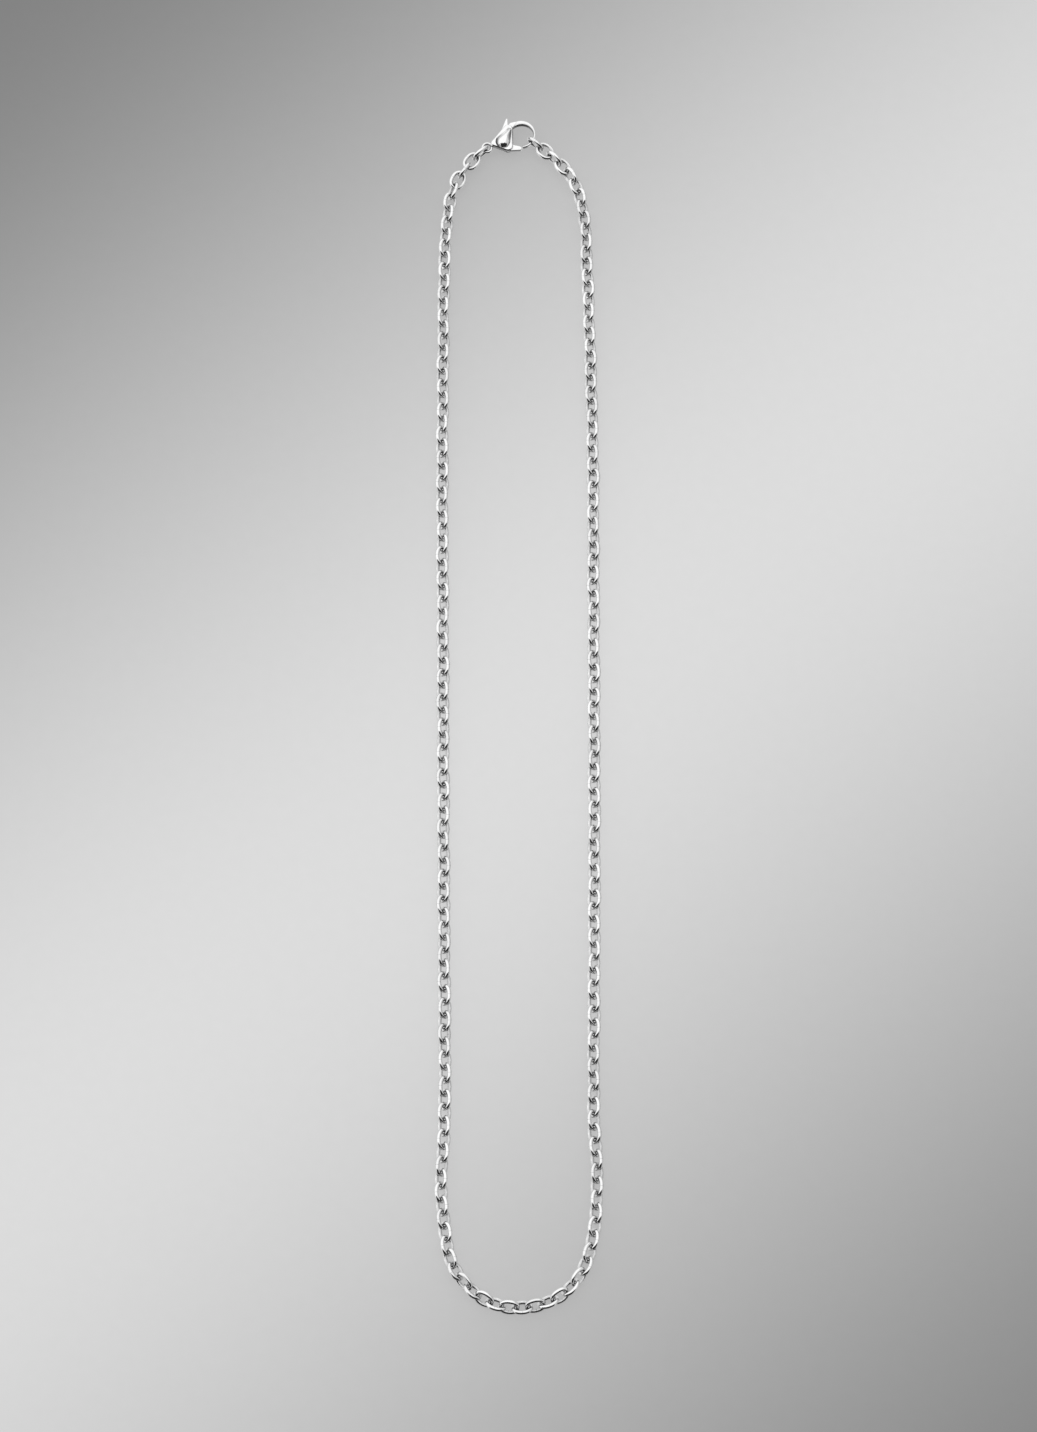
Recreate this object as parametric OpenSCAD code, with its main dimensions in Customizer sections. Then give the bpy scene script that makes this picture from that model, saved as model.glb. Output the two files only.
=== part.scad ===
// Cable chain necklace of polished steel, closed by a lobster clasp.
// It lies flat on a table as one long narrow loop: X across the loop, +Y towards the clasp, Z = 0 the table.

/* [Chain] */
// Number of links in the whole chain
link_count = 196; // [195:1:197]
// Thickness of the round wire that each link is bent from
wire_d = 0.78; // [0.74:0.01:0.8]
// Outer width of a link
link_w = 3.3; // [3.2:0.02:3.4]
// Outer length of a link
link_l = 4.22; // [4.2:0.02:4.26]
// How far each link is rolled from flat where the chain lies free, to one side and the other in turn
rest_roll = 45; // [42:1:48]
// Largest irregular roll that is added to a link
roll_wobble = 6; // [0:1:8]
// Largest sideways shift of a joint between two links
lie_wobble = 0.08; // [0:0.01:0.12]

/* [Loop] */
// Radius of the round turn at the bottom of the loop
turn_r = 13.95; // [13.9:0.05:14]
// Middle of the round turn, along the loop
turn_y = -105.4; // [-105.6:0.1:-105.2]

/* [Clasp] */
// Direction of the clasp's long axis, from its eye to its hook
clasp_turn = 20; // [18:1:22]
// Thickness of the eye's ring
eye_wire_d = 0.56; // [0.52:0.02:0.58]
// Radius of the middle line of the eye's ring
eye_r = 0.92; // [0.9:0.02:0.94]
// Thickness of the clasp's body at its rim
rim_t = 1.7; // [1.6:0.1:2]
// Thickness of the clasp over its two domed cheeks
cheek_t = 3.3; // [3:0.1:3.4]
// Outer radius of the hook
hook_r = 3.02; // [3:0.01:3.04]
// Width of the hook's bar, in its plane
hook_w = 0.5; // [0.46:0.02:0.52]
// Thickness of the hook's bar, across its plane
hook_t = 1; // [0.8:0.05:1.05]
// Thickness of the lever's plate
lever_t = 0.72; // [0.6:0.02:0.74]
// Free play of the lever, in its slot and round its rivet
lever_play = 0.07; // [0.05:0.01:0.08]
// Diameter of the rivet that the lever turns on
pin_d = 0.9; // [0.8:0.05:1]
// Room round the rivet in the clasp's body
pin_play = 0.04; // [0.02:0.01:0.06]
// Room that the last link has round the hook
seat_play = 0.26; // [0.24:0.01:0.3]
// How far the lever is pulled open, 0 when it is shut
lever_open = 0; // [0:1:30]

/* [Hidden] */
$fn = 48;

// One link: two half-round end bends and two straight sides
bend_r = (link_w - wire_d) / 2;
bend_x = (link_l - link_w) / 2;
// Free play between two links that hold each other, at the pitch that the chain has when it lies loose
rough_pitch = 2.5;
link_play = link_l - 2 * wire_d - rough_pitch;

// The clasp's own places: from the middle of its eye, +X along the clasp, Z = 0 its middle plane
eye_pos = [-6.2, 114.35];
body_rounds = [[1.5, 0.3, 0.72], [3.73, -1.11, 1.08], [5.45, 2.6, 0.7]]; // x, y, radius
dome_rounds = [[3.58, -0.05, 1.3], [5.62, 2.1, 0.28]]; // x, y, radius
// Each dome is rounded more across its ridge than along it
dome_top = [4.1, 0.5];
dome_across_r = 1.6;
dome_along_r = 4.2;
dome_ridge = 46.5;
// The root of the hook, where it leaves the body
root_rounds = [[5.45, 2.6, 0.7], [6.6, 2.8, 0.42]]; // x, y, radius
root_t = 1.3;
hook_middle = [7.45, 0.3];
hook_from = -103;
hook_to = 128;
// The second bar that thickens the hook where it leaves the body
brace_middle = [7.45, 0.04];
brace_r = 2.96;
brace_from = -8;
pivot = [3.65, -1.15];
clasp_z = cheek_t / 2;

// The lever's own places, in the same plane as the clasp's
hub = [3.65, -1.15, 0.78]; // x, y, radius
gate_root = [4.3, -1.6, 0.72]; // x, y, radius
gate_tip = [6.2, -2.5, 0.42]; // x, y, radius
gate_reach = 3.3;
knee = [4.42, 2.33, 0.45]; // x, y, radius
trigger_tip = [5.75, 4.22, 0.38]; // x, y, radius
// The slot that the lever moves in: directions and distances from the pivot
slot_gate = -107;
slot_shoulder = [31, 58];
slot_spine = 103;
slot_hub_r = 0.86;
slot_shoulder_r = 3.1;
slot_reach = 9;

function turned(p, a) = [p.x * cos(a) - p.y * sin(a), p.x * sin(a) + p.y * cos(a)];
function unit(v) = v / norm(v);
function on_clasp(p) = eye_pos + turned(p, clasp_turn);

// The chain's route, from the eye down the left side, round the turn and up the right side to the hook
left_route = [ // x, y
    [-8.6, 112.3], [-10.8, 109.5], [-12.7, 106.2], [-13.9, 102], [-14.4, 97.5], [-14.75, 90],
    [-15, 65], [-15, 40], [-14.75, 15], [-14.5, -15], [-14.2, -45], [-13.8, -80],
];
right_route = [ // x, y
    [14.45, -80], [14.75, -50], [14.95, -15], [15, 20], [15, 50], [14.6, 70], [14.1, 88],
    [13.6, 98.5], [12.3, 105.4], [10.1, 109.2], [7.4, 112.1],
];
turn_x = 0.35;
turn_route = [for (a = [180 : 30 : 360]) [turn_x + turn_r * cos(a), turn_y + turn_r * sin(a)]];

// Where the route starts in the eye, and where it ends on the hook
seat_angle = -52;
hook_seat = on_clasp(hook_middle + (hook_r - hook_w / 2) * [cos(seat_angle), sin(seat_angle)]);
eye_reach = eye_r - (eye_wire_d + link_play) / 2;
seat_reach = (hook_w - link_play) / 2 + seat_play;
route_start = eye_pos + eye_reach * unit(left_route[0] - eye_pos);
route_end = hook_seat + seat_reach * unit(hook_seat - right_route[len(right_route) - 1]);

// A smooth curve through the route's points
route = concat([route_start], left_route, turn_route, right_route, [route_end]);
spans = len(route) - 1;
reach = [for (i = [0 : spans - 1]) norm(route[i + 1] - route[i])];
slope = [for (i = [0 : spans - 1]) (route[i + 1] - route[i]) / reach[i]];
tangent = [
    for (i = [0 : spans])
        i == 0 ? slope[0]
        : i == spans ? slope[spans - 1]
        : (slope[i - 1] * reach[i] + slope[i] * reach[i - 1]) / (reach[i - 1] + reach[i])
];
function on_span(i, t) =
    route[i] * (1 + 2 * t) * pow(1 - t, 2)
    + tangent[i] * reach[i] * t * pow(1 - t, 2)
    + route[i + 1] * pow(t, 2) * (3 - 2 * t)
    + tangent[i + 1] * reach[i] * pow(t, 2) * (t - 1);
curve = [
    for (i = [0 : spans - 1])
        let (steps = ceil(reach[i]))
        for (j = [0 : steps - 1 + (i == spans - 1 ? 1 : 0)]) on_span(i, j / steps)
];
travel = [
    for (i = 0, s = 0; i < len(curve); i = i + 1, s = i < len(curve) ? s + norm(curve[i] - curve[i - 1]) : s) s
];
curve_x = [for (i = [0 : len(curve) - 1]) [travel[i], curve[i].x]];
curve_y = [for (i = [0 : len(curve) - 1]) [travel[i], curve[i].y]];
function along(s) = [lookup(s, curve_x), lookup(s, curve_y)];
function side_of(s) = turned(unit(along(s + 0.5) - along(s - 0.5)), 90);
pitch = travel[len(curve) - 1] / link_count;

// How the links lie: each is rolled a quarter turn from the next, and stands on edge at the clasp
settle_links = 7;
function ease(k) = k < settle_links ? pow(cos(90 * k / settle_links), 2) : 0;
function fade(k) = min(1, k / settle_links, (link_count - k) / settle_links);
function roll(k) =
    (k % 2 == 0 ? rest_roll : -rest_roll)
    + (90 - rest_roll) * (ease(k) - ease(link_count - 1 - k))
    + roll_wobble * sin(101 * k) * cos(37 * k) * fade(k);
function lift(k) = wire_d / 2 + bend_r * abs(sin(roll(k)));
function lie_z(k) = max(lift(max(k - 1, 0)), lift(min(k, link_count - 1)));
function lie_shift(k) = lie_wobble * sin(67 * k) * fade(k);
joints = [
    for (k = [0 : link_count])
        let (p = along(k * pitch) + lie_shift(k) * side_of(k * pitch))
        [p.x, p.y, lie_z(k)]
];

// The convex outline round a list of rounds, each [x, y, radius], taken anticlockwise
function tangent_angle(a, b) =
    let (d = [b.x - a.x, b.y - a.y])
    atan2(d.y, d.x) - 90 + asin((a.z - b.z) / norm(d));
function positive(a) = a < 0 ? a + 360 : a >= 360 ? a - 360 : a;
function round_outline(rounds, steps = 10) = [
    for (i = [0 : len(rounds) - 1])
        let (
            here = rounds[i],
            before = rounds[(i + len(rounds) - 1) % len(rounds)],
            after = rounds[(i + 1) % len(rounds)],
            from = tangent_angle(before, here),
            sweep = positive(tangent_angle(here, after) - from)
        )
        for (j = [0 : steps])
            let (a = from + sweep * j / steps)
            [here.x + here.z * cos(a), here.y + here.z * sin(a)]
];

module round_plate(rounds, t) {
    translate([0, 0, -t / 2])
        linear_extrude(t)
            polygon(round_outline(rounds));
}

module link() {
    for (end = [0, 180])
        rotate(end) {
            translate([bend_x, 0, 0])
                rotate_extrude(angle = 180, start = -90)
                    translate([bend_r, 0])
                        circle(d = wire_d);
            translate([-bend_x, bend_r, 0])
                rotate([0, 90, 0])
                    cylinder(d = wire_d, h = 2 * bend_x);
        }
}

module links(first, last) {
    for (k = [first : last]) {
        step = joints[k + 1] - joints[k];
        rise = -asin(step.z / norm(step));
        translate((joints[k] + joints[k + 1]) / 2)
            rotate([roll(k), rise, atan2(step.y, step.x)])
                link();
    }
}

module chain_left() {
    color("silver")
        links(0, link_count / 2 - 1);
}

module chain_right() {
    color("gainsboro")
        links(link_count / 2, link_count - 1);
}

module at_clasp() {
    translate([eye_pos.x, eye_pos.y, clasp_z])
        rotate(clasp_turn)
            children();
}

module eye() {
    rotate_extrude()
        translate([eye_r, 0])
            circle(d = eye_wire_d);
}

module dome() {
    intersection() {
        linear_extrude(cheek_t / 2)
            polygon(round_outline(dome_rounds));
        translate([dome_top.x, dome_top.y, cheek_t / 2 - dome_along_r])
            rotate([90, 0, dome_ridge])
                rotate_extrude()
                    translate([dome_along_r - dome_across_r, 0])
                        circle(dome_across_r);
    }
}

// The clasp's body before anything is cut out of it
module cheeks() {
    round_plate(body_rounds, rim_t);
    round_plate(root_rounds, root_t);
    dome();
    mirror([0, 0, 1])
        dome();
}

// A bar with a flat-sided round section, bent round a middle at the given outer radius
module bent_bar(middle, r, from, to) {
    translate([middle.x, middle.y, 0])
        rotate(from)
            rotate_extrude(angle = to - from)
                translate([r - hook_w / 2, 0]) {
                    square([hook_w, hook_t - hook_w], center = true);
                    for (face = [-1, 1])
                        translate([0, face * (hook_t - hook_w) / 2])
                            circle(d = hook_w);
                }
}

module lever_slot() {
    function spoke(a, r, from = pivot) = from + r * [cos(a), sin(a)];
    hub_arc = [for (a = [slot_spine + 90 : 12 : 360 + slot_gate]) spoke(a, slot_hub_r)];
    slot_t = lever_t + 2 * lever_play;
    translate([0, 0, -slot_t / 2])
        linear_extrude(slot_t)
            polygon(concat(
                hub_arc,
                [for (a = [slot_gate : 23 : slot_shoulder[0]]) spoke(a, slot_reach)],
                [for (a = [slot_shoulder[0] : 9 : slot_shoulder[1]]) spoke(a, slot_shoulder_r)],
                [spoke(slot_shoulder[1], slot_reach), spoke(slot_spine, slot_reach, hub_arc[0])]
            ));
}

module clasp_body() {
    color("lightgray")
        at_clasp() {
            eye();
            bent_bar(hook_middle, hook_r, hook_from, hook_to);
            bent_bar(brace_middle, brace_r, brace_from, hook_to);
            difference() {
                cheeks();
                lever_slot();
                translate([pivot.x, pivot.y, 0])
                    cylinder(d = pin_d + pin_play, h = 2 * cheek_t, center = true);
            }
        }
}

module lever_plate() {
    round_plate([hub, knee], lever_t);
    round_plate([hub, gate_root], lever_t);
    round_plate([knee, trigger_tip], lever_t);
    intersection() {
        round_plate([gate_root, gate_tip], lever_t);
        translate([pivot.x, pivot.y, 0])
            cylinder(r = gate_reach, h = cheek_t, center = true);
    }
}

module clasp_lever() {
    color("darkgray")
        at_clasp()
            translate([pivot.x, pivot.y, 0])
                rotate(lever_open)
                    translate([-pivot.x, -pivot.y, 0])
                        difference() {
                            lever_plate();
                            translate([pivot.x, pivot.y, 0])
                                cylinder(d = pin_d + 2 * lever_play, h = cheek_t, center = true);
                        }
}

module clasp_pin() {
    color("gray")
        at_clasp()
            intersection() {
                cheeks();
                translate([pivot.x, pivot.y, 0])
                    cylinder(d = pin_d, h = 2 * cheek_t, center = true);
            }
}

chain_left();
chain_right();
clasp_body();
clasp_lever();
clasp_pin();
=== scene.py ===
import math
import random

import bmesh
import bpy
import numpy as np
from mathutils import Matrix, Vector


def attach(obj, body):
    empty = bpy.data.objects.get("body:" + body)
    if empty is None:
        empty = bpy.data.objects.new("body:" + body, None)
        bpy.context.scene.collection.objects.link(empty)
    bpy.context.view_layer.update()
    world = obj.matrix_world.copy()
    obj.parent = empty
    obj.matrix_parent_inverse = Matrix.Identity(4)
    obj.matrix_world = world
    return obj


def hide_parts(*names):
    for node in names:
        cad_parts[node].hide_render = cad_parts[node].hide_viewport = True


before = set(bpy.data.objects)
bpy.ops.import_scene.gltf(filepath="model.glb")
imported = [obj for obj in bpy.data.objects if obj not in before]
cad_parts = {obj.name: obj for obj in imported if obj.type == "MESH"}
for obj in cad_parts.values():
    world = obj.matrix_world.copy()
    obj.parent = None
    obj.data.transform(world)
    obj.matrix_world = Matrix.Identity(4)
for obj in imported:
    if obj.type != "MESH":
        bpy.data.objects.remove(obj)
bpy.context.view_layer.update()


# Chain links: round stainless wire wound into ovals, cut, hooked through each other and butt-welded.
# The whole chain is then tumbled bright. The links' insides are painted darker as shade, most in their
# bends.
# All sizes are in millimetres, up to the point where MM takes a mesh to metres.
MM = 0.001
wire_r = 0.39
link_bend_r = 1.26
link_stretch = 0.465
oval_power = 0.5
wire_sides = 6
bend_steps = 16
links_a_side = 98
seam_half = 0.02
seam_blur = 0.05
seam_worn = 0.6
seam_rough = 0.25
seam_sink = -0.5
# Painted shade on the links' insides: where it starts and where it is full.
inside_from = 1.3
inside_to = 1.05
steel_tint = (0.82, 0.82, 0.82, 1)
worn_tint = (0.3, 0.3, 0.305, 1)
# Colour of the painted shade in the links' insides and in the clasp's groove, hook and eye.
shade_tint = (0.2, 0.2, 0.203, 1)
recess_rough = 0.25
chain_marks = 0.12
chain_rough = 0.08
marks_shift = 40
cloud_share = 0.5
scratch_sink = -0.12
bump_depth = 0.02 * MM


def add(tree, kind, sockets=None, **settings):
    """Adds a shader node, sets it, and gives its sockets their values or links."""
    node = tree.nodes.new("ShaderNode" + kind)
    for name, value in settings.items():
        setattr(node, name, value)
    for name, value in (sockets or {}).items():
        if isinstance(value, bpy.types.NodeSocket):
            tree.links.new(value, node.inputs[name])
        else:
            node.inputs[name].default_value = value
    return node


def polish_marks_group():
    """Faint marks of tumbling and wear on bright steel: a haze, fine crossing scratches and soft dents."""
    group = bpy.data.node_groups.new("Polish marks", "ShaderNodeTree")
    sockets = group.interface
    place = sockets.new_socket("Place", in_out="INPUT", socket_type="NodeSocketVector")
    place.hide_value = True
    sockets.new_socket("Haze", in_out="INPUT", socket_type="NodeSocketFloat")
    sockets.new_socket("Scratches", in_out="INPUT", socket_type="NodeSocketFloat")
    sockets.new_socket("Tone", in_out="OUTPUT", socket_type="NodeSocketFloat")
    sockets.new_socket("Roughness", in_out="OUTPUT", socket_type="NodeSocketFloat")
    sockets.new_socket("Height", in_out="OUTPUT", socket_type="NodeSocketFloat")
    inlet = group.nodes.new("NodeGroupInput").outputs
    outlet = group.nodes.new("NodeGroupOutput").inputs

    haze = add(group, "TexNoise", {"Vector": inlet["Place"], "Scale": 1.3, "Detail": 4, "Roughness": 0.6})
    scratches = []
    for turn in (0.4, 1.9):
        lay = add(group, "Mapping", {"Vector": inlet["Place"], "Rotation": (turn, turn / 2, turn),
                                     "Scale": (1.2, 26, 26)})
        streak = add(group, "TexNoise", {"Vector": lay.outputs[0], "Scale": 1, "Detail": 2,
                                         "Roughness": 0.5})
        fine = add(group, "MapRange", {"Value": streak.outputs["Fac"], "From Min": 0.62, "From Max": 0.74})
        scratches.append(fine.outputs[0])
    crossed = add(group, "Math", {0: scratches[0], 1: scratches[1]}, operation="MAXIMUM")
    dents = add(group, "TexNoise", {"Vector": inlet["Place"], "Scale": 2.6, "Detail": 1})

    haze_rough = add(group, "Math", {0: haze.outputs["Fac"], 1: inlet["Haze"]}, operation="MULTIPLY")
    rough = add(group, "Math", {0: crossed.outputs[0], 1: inlet["Scratches"], 2: haze_rough.outputs[0]},
                operation="MULTIPLY_ADD")
    height = add(group, "Math", {0: crossed.outputs[0], 1: scratch_sink, 2: dents.outputs["Fac"]},
                 operation="MULTIPLY_ADD")
    group.links.new(haze.outputs["Fac"], outlet["Tone"])
    group.links.new(rough.outputs[0], outlet["Roughness"])
    group.links.new(height.outputs[0], outlet["Height"])
    return group


polish_marks = polish_marks_group()


def chain_steel():
    """Bright wire with a dull weld seam on one side, and painted shade along the link's inside, most in its
    bends.
    """
    material = bpy.data.materials.new("Tumbled steel wire")
    material.use_nodes = True
    tree = material.node_tree
    shader = tree.nodes["Principled BSDF"]
    shader.inputs["Metallic"].default_value = 1
    place = add(tree, "Attribute", attribute_name="link_place").outputs["Vector"]
    tone = add(tree, "Attribute", attribute_name="link_tone").outputs["Fac"]
    spread = add(tree, "Math", {0: tone, 1: marks_shift}, operation="MULTIPLY")
    offset = add(tree, "VectorMath", {0: place, 1: spread.outputs[0]}, operation="ADD")
    marks = add(tree, "Group", {"Place": offset.outputs[0], "Haze": chain_marks, "Scratches": chain_marks},
                node_tree=polish_marks)

    parts = add(tree, "SeparateXYZ", {0: place})
    along = add(tree, "Math", {0: parts.outputs["X"]}, operation="ABSOLUTE")
    from_bend = add(tree, "Math", {0: along.outputs[0], 1: link_stretch}, operation="SUBTRACT")
    in_plane = add(tree, "CombineXYZ", {"X": from_bend.outputs[0], "Y": parts.outputs["Y"]})
    bend_reach = add(tree, "VectorMath", {0: in_plane.outputs[0]}, operation="LENGTH")
    # Painted shade: darker along the link's inside, more towards its ends.
    inner = add(tree, "MapRange", {"Value": bend_reach.outputs["Value"], "From Min": inside_from,
                                   "From Max": inside_to}, interpolation_type="SMOOTHSTEP")
    at_end = add(tree, "MapRange", {"Value": from_bend.outputs[0], "From Min": 0.35, "From Max": 0.75,
                                   "To Min": 0.4, "To Max": 0.85}, interpolation_type="SMOOTHSTEP")
    shade_mask = add(tree, "Math", {0: inner.outputs[0], 1: at_end.outputs[0]}, operation="MULTIPLY")
    seam_width = add(tree, "MapRange", {"Value": along.outputs[0], "From Min": seam_half,
                                        "From Max": seam_blur, "To Min": 1, "To Max": 0})
    seam_side = add(tree, "Math", {0: parts.outputs["Y"], 1: 0}, operation="GREATER_THAN")
    seam = add(tree, "Math", {0: seam_width.outputs[0], 1: seam_side.outputs[0]}, operation="MULTIPLY")

    level = add(tree, "Math", {0: marks.outputs["Tone"], 1: cloud_share, 2: tone}, operation="MULTIPLY_ADD")
    blotch = add(tree, "MapRange", {"Value": level.outputs[0], "From Min": 0.55, "From Max": 1.3,
                                    "To Min": 0, "To Max": 0.2})
    dark = add(tree, "Math", {0: seam.outputs[0], 1: seam_worn, 2: blotch.outputs[0]},
               operation="MULTIPLY_ADD", use_clamp=True)
    wire = add(tree, "Mix", {0: dark.outputs[0], 6: steel_tint, 7: worn_tint}, data_type="RGBA")
    colour = add(tree, "Mix", {0: shade_mask.outputs[0], 6: wire.outputs[2], 7: shade_tint}, data_type="RGBA")
    tree.links.new(colour.outputs[2], shader.inputs["Base Color"])

    marks_rough = add(tree, "Math", {0: seam.outputs[0], 1: seam_rough, 2: marks.outputs["Roughness"]},
                      operation="MULTIPLY_ADD")
    rough = add(tree, "Math", {0: marks_rough.outputs[0], 1: chain_rough}, operation="ADD")
    tree.links.new(rough.outputs[0], shader.inputs["Roughness"])
    height = add(tree, "Math", {0: seam.outputs[0], 1: seam_sink, 2: marks.outputs["Height"]},
                 operation="MULTIPLY_ADD")
    bump = add(tree, "Bump", {"Strength": 0.25, "Distance": bump_depth, "Height": height.outputs[0]})
    tree.links.new(bump.outputs[0], shader.inputs["Normal"])
    return material


def link_cage():
    """One link in its own frame, in mm, a little large because subdivision draws its corners in."""
    section_draw = (2 + math.cos(2 * math.pi / wire_sides)) / 3
    bend_draw = (2 + math.cos(2 * math.pi / bend_steps)) / 3
    cage = bmesh.new()
    across_wire = Matrix.Translation((link_bend_r, 0, 0)) @ Matrix.Rotation(math.pi / 2, 4, "X")
    bmesh.ops.create_circle(cage, segments=wire_sides, radius=wire_r / section_draw, matrix=across_wire)
    bmesh.ops.spin(cage, geom=cage.verts[:] + cage.edges[:], cent=(0, 0, 0), axis=(0, 0, 1),
                   angle=2 * math.pi, steps=bend_steps, use_merge=True)
    bmesh.ops.scale(cage, vec=(1 / bend_draw, 1 / bend_draw, 1), verts=cage.verts[:])
    for vert in cage.verts:
        towards_end = vert.co.x / vert.co.xy.length
        vert.co.x += math.copysign(link_stretch * abs(towards_end) ** oval_power, towards_end)
    bmesh.ops.recalc_face_normals(cage, faces=cage.faces[:])
    place = cage.verts.layers.float_vector.new("link_place")
    cage.verts.layers.float.new("link_tone")
    for vert in cage.verts:
        vert[place] = vert.co
    return cage


def link_places(node):
    """Where each solid link lies and how it is turned, from its points' middle and main directions."""
    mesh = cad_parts[node].data
    points = np.empty(3 * len(mesh.vertices))
    mesh.vertices.foreach_get("co", points)
    places = []
    for link in points.reshape(links_a_side, -1, 3):
        middle = link.mean(axis=0)
        length_way, width_way, _ = np.linalg.svd(link - middle, full_matrices=False)[2]
        turn = Matrix((length_way, width_way, np.cross(length_way, width_way))).transposed()
        places.append(Matrix.Translation(middle) @ turn.to_4x4() @ Matrix.Scale(MM, 4))
    return places


def finish_piece(name, mesh_data, material, node, body):
    """Makes a bmesh an object that stands for a node and rides on its body."""
    mesh = bpy.data.meshes.new(name)
    mesh_data.to_mesh(mesh)
    mesh_data.free()
    mesh.materials.append(material)
    mesh.shade_smooth()
    piece = bpy.data.objects.new(name, mesh)
    bpy.context.scene.collection.objects.link(piece)
    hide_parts(node)
    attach(piece, body)
    return piece


wire_steel = chain_steel()
chance = random.Random(7)
for node in ("chain_left", "chain_right"):
    links = link_cage()
    tone = links.verts.layers.float["link_tone"]
    first = links.verts[:] + links.edges[:] + links.faces[:]
    first_verts = links.verts[:]
    for place in link_places(node):
        copied = bmesh.ops.duplicate(links, geom=first)["geom"]
        verts = [part for part in copied if isinstance(part, bmesh.types.BMVert)]
        bmesh.ops.transform(links, matrix=place, verts=verts)
        link_tone = chance.random()
        for vert in verts:
            vert[tone] = link_tone
    bmesh.ops.delete(links, geom=first_verts, context="VERTS")
    chain = finish_piece(node + "_links", links, wire_steel, node, "necklace")
    chain.modifiers.new("Round wire", "SUBSURF").levels = 1
    chain.modifiers["Round wire"].render_levels = 1


# Clasp body: one steel casting: an eye, a petal-shaped body with a domed cheek on each face, and the hook.
# It is cast, deburred and mirror-polished, and a slot is milled through it for the lever. Its sizes are
# measured from the eye's middle, +X along the clasp. A round is the X, Y and radius of a corner's circle.
eye_middle = Vector((-6.2, 114.35, 1.65))
clasp_turn = math.radians(20)
clasp_place = (
    Matrix.Translation(eye_middle * MM)
    @ Matrix.Rotation(clasp_turn, 4, "Z")
    @ Matrix.Scale(MM, 4)
)
body_rounds = [(1.68, 0.3, 0.7), (4.05, -1.22, 1.1), (5.36, 2.22, 1.0)]
root_rounds = [(5.2, 2.1, 0.7), (7.3, 3.03, 0.3), (6.3, 3.12, 0.31)]
dome_rounds = [(3.54, -0.17, 1.37), (5.65, 1.75, 0.28)]
groove_rounds = [(3.42, -0.04, 1.53), (5.5, 1.84, 0.47)]
neck_rounds = [(1.12, 0.16, 0.46), (2.1, 0.3, 0.75)]
rim_t = 1.44
rim_edge_r = 0.36
neck_t = 0.9
neck_edge_r = 0.3
root_t = 1.04
root_edge_r = 0.25
cheek_t = 3.3
groove_depth = 0.2
# Painted shade: which side of the groove's foot darkens, and how strongly the hook's and eye's insides are
# darkened.
groove_dark_way = Vector((-0.92, 0.39))
groove_play = 0.02
bow_shade = 1.1
eye_shade = 1.3
dome_top = Vector((4.1, 0.5))
dome_along_r = 4.2
dome_root = 0.1
dome_foot_reach = 0.06
eye_r = 0.92
eye_wire_r = 0.28
eye_wire_sides = 16
eye_steps = 40
hook_middle = Vector((7.45, 0.3, 0))
hook_r = 3.02
hook_w = 0.5
hook_t = 1.0
hook_from = math.radians(-103)
hook_to = math.radians(128)
hook_sides = 20
hook_steps = 64
hook_swell = 0.46
hook_swell_all_round = 0.06
hook_tip_round = 0.16
pivot = Vector((3.65, -1.15, 0))
pin_r = 0.45
pin_hole_r = 0.47
pin_sides = 48
slot_t = 0.86
tiny = 1e-6
merge_reach = 1e-4
casting_marks = 0.06
casting_rough = 0.06


def round_outline(rounds, arc_step=math.radians(8), line_step=0.3):
    """The convex outline round some rounds, anticlockwise: a list of middle, radius and direction."""
    def tangent(a, b):
        reach = math.dist(a[:2], b[:2])
        return math.atan2(b[1] - a[1], b[0] - a[0]) - math.pi / 2 + math.asin((a[2] - b[2]) / reach)

    outline = []
    for index, here in enumerate(rounds):
        after = rounds[(index + 1) % len(rounds)]
        start = tangent(rounds[index - 1], here)
        sweep = (tangent(here, after) - start) % (2 * math.pi)
        arc_steps = max(2, round(sweep / arc_step))
        for step in range(arc_steps + 1):
            outline.append((Vector(here), start + sweep * step / arc_steps))
        line_steps = max(1, round(math.dist(here[:2], after[:2]) / line_step))
        for step in range(1, line_steps):
            outline.append((Vector(here).lerp(Vector(after), step / line_steps), start + sweep))
    return outline


def ring(solid, outline, z, inset=0.0, shrink=1.0):
    """A closed ring of edges on the outline, drawn in by an inset or by a share of each round's radius."""
    edges_before = set(solid.edges)
    verts = bmesh.ops.create_circle(solid, segments=len(outline), radius=1)["verts"]
    for vert, (round_, direction) in zip(verts, outline):
        reach = (round_.z - inset) * shrink
        vert.co = (round_.x + reach * math.cos(direction), round_.y + reach * math.sin(direction), z)
    return verts, [edge for edge in solid.edges if edge not in edges_before]


def close_rings(solid, rings):
    """Bridges each ring to the next, closes both ends and turns the faces outwards."""
    for (_, lower), (_, upper) in zip(rings, rings[1:]):
        bmesh.ops.bridge_loops(solid, edges=lower + upper)
    bmesh.ops.contextual_create(solid, geom=rings[0][1])
    bmesh.ops.contextual_create(solid, geom=rings[-1][1])
    bmesh.ops.recalc_face_normals(solid, faces=solid.faces[:])
    return solid


def rounded_plate(rounds, thickness, edge_r, edge_steps=4, flat_border=0.03):
    """A flat plate with a round outline and rounded edges, and a narrow flat border beside each edge."""
    outline = round_outline(rounds)
    flat = thickness / 2
    profile = [(edge_r + flat_border, flat)]
    for step in range(edge_steps + 1):
        turn = math.pi / 2 * step / edge_steps
        profile.append((edge_r * (1 - math.sin(turn)), flat - edge_r * (1 - math.cos(turn))))
    profile = profile + [(inset, -z) for inset, z in reversed(profile)]
    plate = bmesh.new()
    return close_rings(plate, [ring(plate, outline, z, inset) for inset, z in profile])


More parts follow.
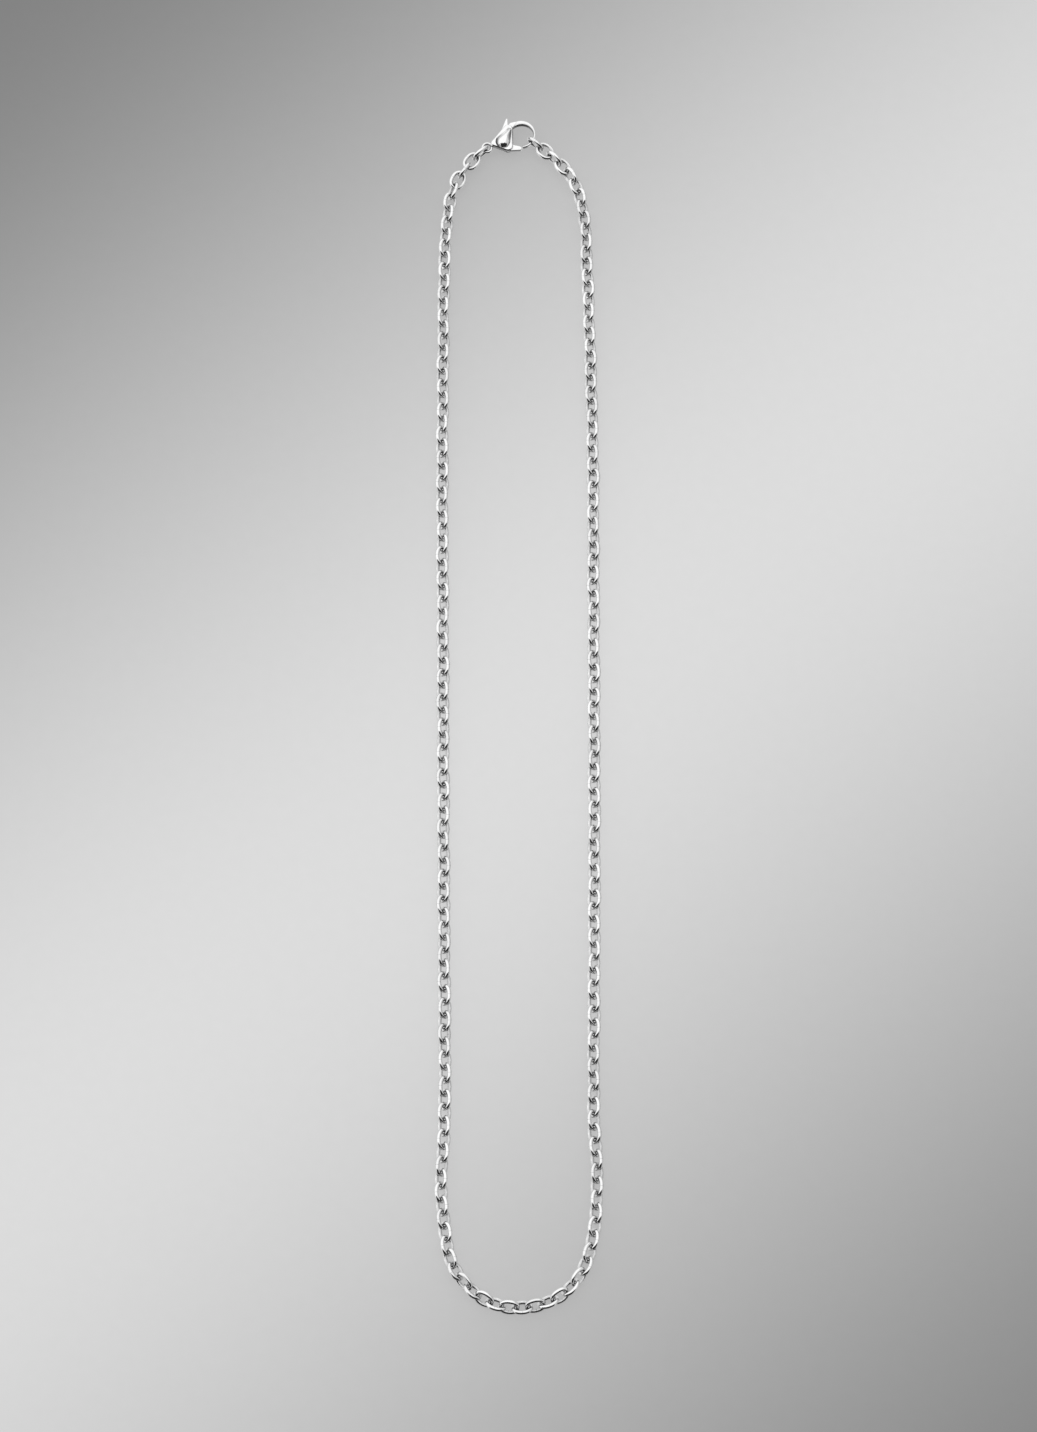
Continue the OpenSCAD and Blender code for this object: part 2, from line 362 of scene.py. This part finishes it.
def petal_dome(steps=8):
    """The two domed cheeks as one solid, each highest along the petal's middle and steep at its foot."""
    outline = round_outline(dome_rounds)
    ridge = (Vector(dome_rounds[1][:2]) - Vector(dome_rounds[0][:2])).normalized()
    foot = rim_t / 2 - groove_depth - dome_root
    solid = bmesh.new()
    rings = []
    for face in (-1, 1):
        for step in range(steps + 1):
            rise = math.pi / 2 * (steps - step if face < 0 else step) / steps
            circle, edges = ring(solid, outline, 0, shrink=max(math.cos(rise), tiny))
            for vert, (round_, _) in zip(circle, outline):
                run = (round_.xy - dome_top).dot(ridge)
                top = cheek_t / 2 - dome_along_r + math.sqrt(dome_along_r ** 2 - run ** 2)
                vert.co.z = face * (foot + (top - foot) * math.sin(rise))
            rings.append((circle, edges))
    for (_, lower), (_, upper) in zip(rings, rings[1:]):
        bmesh.ops.bridge_loops(solid, edges=lower + upper)
    bmesh.ops.remove_doubles(solid, verts=solid.verts[:], dist=merge_reach)
    bmesh.ops.recalc_face_normals(solid, faces=solid.faces[:])
    return solid


def foot_groove(face):
    """What is cut away round a dome's foot on one face."""
    outline = round_outline(groove_rounds)
    rim_z = rim_t / 2
    floor_z = rim_z - groove_depth
    levels = [  # inset, height
        (0.3, floor_z),
        (0.22, floor_z + 0.01),
        (0.03, rim_z - 0.03),
        (0, rim_z),
        (0, rim_t),
    ]
    solid = bmesh.new()
    return close_rings(solid, [ring(solid, outline, face * z, inset) for inset, z in levels])


def hook_bar():
    """The hook: a flat-sided round bar bent two thirds of the way round, thickest over its top."""
    bar = bmesh.new()
    upright = Matrix.Rotation(math.pi / 2, 4, "X")
    start = Matrix.Rotation(hook_from, 4, "Z") @ Matrix.Translation((hook_r - hook_w / 2, 0, 0))
    bmesh.ops.create_circle(bar, segments=hook_sides, radius=hook_w / 2, matrix=upright)
    for vert in bar.verts:
        if abs(vert.co.z) > tiny:
            vert.co.z += math.copysign((hook_t - hook_w) / 2, vert.co.z)
    bmesh.ops.transform(bar, matrix=start, verts=bar.verts[:])
    bend = bmesh.ops.spin(bar, geom=bar.verts[:] + bar.edges[:], cent=(0, 0, 0), axis=(0, 0, 1),
                          angle=hook_to - hook_from, steps=hook_steps)
    last_edges = [part for part in bend["geom_last"] if isinstance(part, bmesh.types.BMEdge)]
    bmesh.ops.contextual_create(bar, geom=last_edges)
    open_edges = [edge for edge in bar.edges if edge.is_boundary]
    tip = bmesh.ops.contextual_create(bar, geom=open_edges)["faces"]
    bmesh.ops.recalc_face_normals(bar, faces=bar.faces[:])
    for vert in bar.verts:
        around = math.atan2(vert.co.y, vert.co.x)
        width = hook_w + max(0, hook_swell_all_round + hook_swell * math.sin(around))
        radius = vert.co.xy.length
        drawn = hook_r - (hook_r - radius) * width / hook_w
        vert.co.xy = vert.co.xy * (drawn / radius)
    bmesh.ops.bevel(bar, geom=tip[0].edges[:], offset=hook_tip_round, segments=3, profile=0.5,
                    affect="EDGES", material=-1)
    bmesh.ops.translate(bar, vec=hook_middle, verts=bar.verts[:])
    return bar


def eye_ring():
    """The eye that the chain's first link hangs in."""
    eye = bmesh.new()
    across_wire = Matrix.Translation((eye_r, 0, 0)) @ Matrix.Rotation(math.pi / 2, 4, "X")
    bmesh.ops.create_circle(eye, segments=eye_wire_sides, radius=eye_wire_r, matrix=across_wire)
    bmesh.ops.spin(eye, geom=eye.verts[:] + eye.edges[:], cent=(0, 0, 0), axis=(0, 0, 1),
                   angle=2 * math.pi, steps=eye_steps, use_merge=True)
    bmesh.ops.recalc_face_normals(eye, faces=eye.faces[:])
    return eye


def lever_slot():
    """The milled slot, from the gate round to the shoulder that stops the lever, and out at the trigger."""
    gate = -107
    shoulder = (31, 58)
    spine = 103
    hub_r = 0.86
    shoulder_r = 3.1
    reach = 9
    hub_step = 6
    shoulder_step = 3
    open_step = 23

    def spoke(degrees, length, start=pivot.xy):
        turn = math.radians(degrees)
        return start + length * Vector((math.cos(turn), math.sin(turn)))

    points = [spoke(a, hub_r) for a in range(spine + 90, 360 + gate + 1, hub_step)]
    hub_start = points[0]
    points += [spoke(a, reach) for a in range(gate, shoulder[0] + 1, open_step)]
    points += [spoke(a, shoulder_r) for a in range(shoulder[0], shoulder[1] + 1, shoulder_step)]
    points += [spoke(shoulder[1], reach), spoke(spine, reach, hub_start)]
    slot = bmesh.new()
    floor_face = slot.faces.new([slot.verts.new((p.x, p.y, -slot_t / 2)) for p in points])
    raised = bmesh.ops.extrude_face_region(slot, geom=[floor_face], use_keep_orig=True)["geom"]
    top = [part for part in raised if isinstance(part, bmesh.types.BMVert)]
    bmesh.ops.translate(slot, vec=(0, 0, slot_t), verts=top)
    bmesh.ops.recalc_face_normals(slot, faces=slot.faces[:])
    return slot


def pivot_cylinder(radius):
    """A round bar across the clasp at its pivot."""
    bar = bmesh.new()
    bmesh.ops.create_cone(bar, cap_ends=True, segments=pin_sides, radius1=radius, radius2=radius,
                          depth=2 * cheek_t, matrix=Matrix.Translation(pivot))
    return bar


def joined(base, steps):
    """Cuts or joins solids to a base, one after another, and returns the result as a bmesh."""
    def as_object(solid):
        mesh = bpy.data.meshes.new("solid")
        solid.to_mesh(mesh)
        solid.free()
        holder = bpy.data.objects.new("solid", mesh)
        bpy.context.scene.collection.objects.link(holder)
        return holder

    result = as_object(base)
    tools = []
    for operation, solid in steps:
        tools.append(as_object(solid))
        boolean = result.modifiers.new(operation, "BOOLEAN")
        boolean.operation = operation
        boolean.solver = "EXACT"
        boolean.object = tools[-1]
    graph = bpy.context.evaluated_depsgraph_get()
    made = bmesh.new()
    made.from_mesh(result.evaluated_get(graph).to_mesh())
    for holder in [result] + tools:
        bpy.data.objects.remove(holder)
    bmesh.ops.remove_doubles(made, verts=made.verts[:], dist=merge_reach)
    bmesh.ops.dissolve_degenerate(made, edges=made.edges[:], dist=merge_reach)
    return made


def clasp_steel(name, haze, scratches, roughness, with_recess_shade=False):
    """Mirror-polished steel: a thin haze, fine wiping scratches, soft dents, and, if asked, painted shade
    in its recesses.
    """
    material = bpy.data.materials.new(name)
    material.use_nodes = True
    tree = material.node_tree
    shader = tree.nodes["Principled BSDF"]
    shader.inputs["Metallic"].default_value = 1
    coordinates = add(tree, "TexCoord")
    millimetres = add(tree, "Mapping", {"Vector": coordinates.outputs["Object"],
                                        "Scale": (1 / MM, 1 / MM, 1 / MM)})
    marks = add(tree, "Group", {"Place": millimetres.outputs[0], "Haze": haze, "Scratches": scratches},
                node_tree=polish_marks)
    cloud = add(tree, "MapRange", {"Value": marks.outputs["Tone"], "From Min": 0.4, "From Max": 0.8,
                                   "To Min": 0, "To Max": 0.12})
    colour = add(tree, "Mix", {0: cloud.outputs[0], 6: steel_tint, 7: worn_tint}, data_type="RGBA")
    rough = add(tree, "Math", {0: marks.outputs["Roughness"], 1: roughness}, operation="ADD")
    # Painted shade: recesses darkened in colour and roughened.
    if with_recess_shade:
        shade_mask = add(tree, "Attribute", attribute_name="recess_shade").outputs["Fac"]
        colour = add(tree, "Mix", {0: shade_mask, 6: colour.outputs[2], 7: shade_tint}, data_type="RGBA")
        rough = add(tree, "Math", {0: shade_mask, 1: recess_rough, 2: rough.outputs[0]},
                    operation="MULTIPLY_ADD")
    tree.links.new(colour.outputs[2], shader.inputs["Base Color"])
    tree.links.new(rough.outputs[0], shader.inputs["Roughness"])
    bump = add(tree, "Bump", {"Strength": 0.15, "Distance": bump_depth, "Height": marks.outputs["Height"]})
    tree.links.new(bump.outputs[0], shader.inputs["Normal"])
    return material


def reach_past(rounds, point):
    """How far a point lies outside the outline round two rounds, below zero inside it."""
    start, end = (Vector(round_) for round_ in rounds)
    run = end.xy - start.xy
    share = min(1, max(0, (point - start.xy).dot(run) / run.length_squared))
    nearest = start.lerp(end, share)
    return (point - nearest.xy).length - nearest.z


def cheeks():
    """The clasp's body before the slot and the rivet's hole are cut."""
    return joined(rounded_plate(body_rounds, rim_t, rim_edge_r), [
        ("UNION", rounded_plate(neck_rounds, neck_t, neck_edge_r)),
        ("UNION", rounded_plate(root_rounds, root_t, root_edge_r)),
        ("DIFFERENCE", foot_groove(1)),
        ("DIFFERENCE", foot_groove(-1)),
        ("UNION", petal_dome()),
    ])


body_steel = clasp_steel("Polished casting", casting_marks, casting_marks, casting_rough,
                         with_recess_shade=True)
casting = joined(cheeks(), [
    ("DIFFERENCE", lever_slot()),
    ("DIFFERENCE", pivot_cylinder(pin_hole_r)),
    ("UNION", hook_bar()),
    ("UNION", eye_ring()),
])
casting.normal_update()
# Painted shade: the groove's foot on one side, the hook's inside and the eye's inside are darkened in
# colour.
recess_shade = casting.verts.layers.float.new("recess_shade")
dome_middle = Vector(dome_rounds[0][:2])
for vert in casting.verts:
    below_rim = slot_t / 2 + groove_play < abs(vert.co.z) < rim_t / 2 - groove_play
    past_dome = reach_past(dome_rounds, vert.co.xy) > -dome_foot_reach
    within_groove = reach_past(groove_rounds, vert.co.xy) < groove_play
    groove_shade = 0
    if below_rim and past_dome and within_groove:
        groove_shade = max(0, (vert.co.xy - dome_middle).normalized().dot(groove_dark_way))
    to_bow = hook_middle.xy - vert.co.xy
    in_bow = vert.normal.xy.dot(to_bow.normalized()) if to_bow.length < hook_r else 0
    in_eye = -vert.normal.xy.dot(vert.co.xy.normalized()) if vert.co.xy.length < eye_r else 0
    vert[recess_shade] = min(1, max(groove_shade, bow_shade * max(0, in_bow), eye_shade * max(0, in_eye)))
bmesh.ops.transform(casting, matrix=clasp_place, verts=casting.verts[:])
clasp = finish_piece("clasp_casting", casting, body_steel, "clasp_body", "necklace")
clasp.data.set_sharp_from_angle(angle=math.radians(32))


# Lever: one stamped steel plate, gate, hub and thumb trigger in one, with its cut edges tumbled round.
# It swings in the slot on the rivet, and a leaf spring hidden in the body pushes the gate shut.
edge_round = 0.12
seam_reach = 0.0001
shortest_side = 0.03
level_play = 0.01
flat_angle = math.radians(1)
rim_angle = math.radians(60)
knee = Vector((4.42, 2.33))
knee_reach = 0.6
knee_side = 0.3
knee_widening = 0.5
trigger_tip = Vector((5.75, 4.22))
tip_reach = 1.1 * 0.38
tip_narrowing = 0.6
plate_haze = 0.08
plate_scratches = 0.1
plate_rough = 0.07

plate = bmesh.new()
plate.from_mesh(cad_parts["clasp_lever"].data)
bmesh.ops.remove_doubles(plate, verts=plate.verts[:], dist=seam_reach * MM)
bmesh.ops.dissolve_limit(plate, angle_limit=flat_angle, verts=plate.verts[:], edges=plate.edges[:])
bmesh.ops.remove_doubles(plate, verts=plate.verts[:], dist=shortest_side * MM)
along_trigger = (trigger_tip - knee).normalized()
across_trigger = Vector((along_trigger.y, -along_trigger.x))
for vert in plate.verts:
    in_clasp = clasp_place.inverted() @ vert.co
    from_tip = in_clasp.xy - trigger_tip
    if from_tip.length < tip_reach:
        straight = from_tip.dot(along_trigger) * along_trigger
        in_clasp.xy = trigger_tip + straight + tip_narrowing * (from_tip - straight)
    from_knee = in_clasp.xy - knee
    if from_knee.length < knee_reach and from_knee.dot(across_trigger) > knee_side:
        in_clasp.xy = in_clasp.xy + knee_widening * across_trigger
    vert.co = clasp_place @ in_clasp
rims = [
    edge for edge in plate.edges
    if edge.is_manifold and edge.calc_face_angle() > rim_angle
    and abs(edge.verts[0].co.z - edge.verts[1].co.z) < level_play * MM
]
bmesh.ops.bevel(plate, geom=rims, offset=edge_round * MM, segments=3, profile=0.5, affect="EDGES",
                clamp_overlap=False, material=-1)
lever_steel = clasp_steel("Tumbled lever plate", plate_haze, plate_scratches, plate_rough)
lever = finish_piece("clasp_lever_plate", plate, lever_steel, "clasp_lever", "lever")
lever.data.set_sharp_from_angle(angle=math.radians(40))


# Rivet: a steel pin pressed through both cheeks and the lever's hub, and ground flush with the domes.
# Only a hairline round each end shows where it is.
rivet_haze = 0.08
rivet_scratches = 0.1
rivet_rough = 0.07

rivet_steel = clasp_steel("Ground rivet", rivet_haze, rivet_scratches, rivet_rough)
rivet = joined(cheeks(), [("INTERSECT", pivot_cylinder(pin_r))])
bmesh.ops.transform(rivet, matrix=clasp_place, verts=rivet.verts[:])
pin = finish_piece("clasp_rivet", rivet, rivet_steel, "clasp_pin", "necklace")
pin.data.set_sharp_from_angle(angle=math.radians(40))


# Table: a wide smooth pale sheet with a painted band of light: brightest in a slanted band, dull beside it
# and paler again far out.
# It is only what the necklace lies on, and glows a little itself, so that shadows on it stay light.
# Its sizes are in metres.
table_half = 3.0
table_glow = 3.0
table_grain = 400
band_turn = math.radians(49.8)
band_middle = -0.0042
band_tone = (0.187, 0.187, 0.187, 1)
band_edge = 0.2
band_edge_tone = (0.0577, 0.0577, 0.0577, 1)
band_end = 0.9
band_end_tone = (0.153, 0.153, 0.153, 1)

table = bmesh.new()
bmesh.ops.create_grid(table, x_segments=1, y_segments=1, size=table_half)
table_mesh = bpy.data.meshes.new("table")
table.to_mesh(table_mesh)
table.free()
floor = bpy.data.objects.new("table", table_mesh)
bpy.context.scene.collection.objects.link(floor)

sheet = bpy.data.materials.new("Pale table")
sheet.use_nodes = True
tree = sheet.node_tree
shader = tree.nodes["Principled BSDF"]
shader.inputs["Roughness"].default_value = 1
shader.inputs["Specular IOR Level"].default_value = 0
coordinates = add(tree, "TexCoord")
turned = add(tree, "Mapping", {"Vector": coordinates.outputs["Object"], "Rotation": (0, 0, band_turn),
                               "Location": (band_middle, 0, 0)})
parts = add(tree, "SeparateXYZ", {0: turned.outputs[0]})
away = add(tree, "Math", {0: parts.outputs["X"]}, operation="ABSOLUTE")
# Painted light: the slanted bright band and its falloff to both sides.
band = add(tree, "ValToRGB", {"Fac": away.outputs[0]})
ramp = band.color_ramp
ramp.interpolation = "EASE"
ramp.elements[0].color = band_tone
ramp.elements[1].position = band_end
ramp.elements[1].color = band_end_tone
ramp.elements.new(band_edge).color = band_edge_tone
grain = add(tree, "TexNoise", {"Vector": coordinates.outputs["Object"], "Scale": table_grain, "Detail": 3})
tint = add(tree, "MapRange", {"Value": grain.outputs["Fac"], "To Min": 0.985, "To Max": 1.015})
mottled = add(tree, "VectorMath", {0: band.outputs["Color"]}, operation="SCALE")
tree.links.new(tint.outputs[0], mottled.inputs["Scale"])
tree.links.new(mottled.outputs[0], shader.inputs["Base Color"])
tree.links.new(mottled.outputs[0], shader.inputs["Emission Color"])
shader.inputs["Emission Strength"].default_value = table_glow
table_mesh.materials.append(sheet)
floor.visible_glossy = False


# Light: a white tent above and, duller, below the necklace, open towards the near end of the loop.
# The steel mirrors the tent and not the table, as if it lay on clear glass, and the dark opening draws the
# dark lines in it. To the eye the surround is plain pale.
tent_white = 1.25
tent_dark = 0.03
under_dark = 0.45
under_dull = 0.62
side_dull = 0.62
opening_way = (0, 0.98, 0.19)
opening_flare = 0.35
opening_from = -0.26
opening_to = -0.12
jamb_from = 0.6
jamb_to = 0.83
jamb_lift = 0.9
plain_pale = (0.6, 0.6, 0.6, 1)

world = bpy.data.worlds.new("Studio")
bpy.context.scene.world = world
world.use_nodes = True
sky = world.node_tree
direction = add(sky, "TexCoord").outputs["Generated"]
axes = add(sky, "SeparateXYZ", {0: direction})
nearness = add(sky, "VectorMath", {0: direction, 1: opening_way}, operation="DOT_PRODUCT")
opening = add(sky, "MapRange", {"Value": axes.outputs["Z"], "From Min": -0.9, "From Max": -0.1,
                                "To Min": under_dark, "To Max": tent_dark}, interpolation_type="SMOOTHSTEP")
aside = add(sky, "Math", {0: axes.outputs["X"]}, operation="ABSOLUTE")
off_centre = add(sky, "Math", {0: axes.outputs["Z"], 1: -opening_flare, 2: aside.outputs[0]},
                 operation="MULTIPLY_ADD")
jamb = add(sky, "MapRange", {"Value": off_centre.outputs[0], "From Min": jamb_from, "From Max": jamb_to,
                             "To Max": jamb_lift}, interpolation_type="SMOOTHSTEP")
off_opening = add(sky, "Math", {0: nearness.outputs["Value"], 1: jamb.outputs[0]}, operation="ADD")
open_end = add(sky, "MapRange", {"Value": off_opening.outputs[0], "From Min": opening_from,
                                 "From Max": opening_to, "To Min": opening.outputs[0],
                                 "To Max": tent_white}, interpolation_type="SMOOTHSTEP")
under = add(sky, "MapRange", {"Value": axes.outputs["Z"], "From Min": -0.1, "From Max": 0.3,
                              "To Min": under_dull, "To Max": 1}, interpolation_type="SMOOTHSTEP")
dim_side = add(sky, "MapRange", {"Value": axes.outputs["X"], "From Min": 0.3, "From Max": 0.75,
                                 "To Min": 1, "To Max": side_dull}, interpolation_type="SMOOTHSTEP")
walls = add(sky, "Math", {0: dim_side.outputs[0], 1: under.outputs[0]}, operation="MULTIPLY")
tent = add(sky, "Math", {0: open_end.outputs[0], 1: walls.outputs[0]}, operation="MULTIPLY")
surround = sky.nodes["Background"]
surround.inputs["Color"].default_value = (1, 1, 1, 1)
sky.links.new(tent.outputs[0], surround.inputs["Strength"])
pale = add(sky, "Background", {"Color": plain_pale})
to_eye = add(sky, "LightPath").outputs["Is Camera Ray"]
seen = add(sky, "MixShader", {0: to_eye, 1: surround.outputs[0], 2: pale.outputs[0]})
sky.links.new(seen.outputs[0], sky.nodes["World Output"].inputs["Surface"])
bpy.context.scene.view_settings.view_transform = "Standard"


# Camera: a portrait lens above the near end of the loop, looking down at the loop's middle.
# It stands in for the photographer's, about 0.6 m above the table.
camera_place = Vector((0.0002, -0.15297, 0.60651))
camera_aim = Vector((0.0002, -0.0049, 0))
camera_data = bpy.data.cameras.new("camera")
camera_data.sensor_fit = "VERTICAL"
camera_data.sensor_height = 36
camera_data.lens = 80
camera_data.clip_start = 0.01
camera = bpy.data.objects.new("camera", camera_data)
camera.location = camera_place
camera.rotation_euler = (camera_aim - camera_place).to_track_quat("-Z", "Y").to_euler()
bpy.context.scene.collection.objects.link(camera)
bpy.context.scene.camera = camera
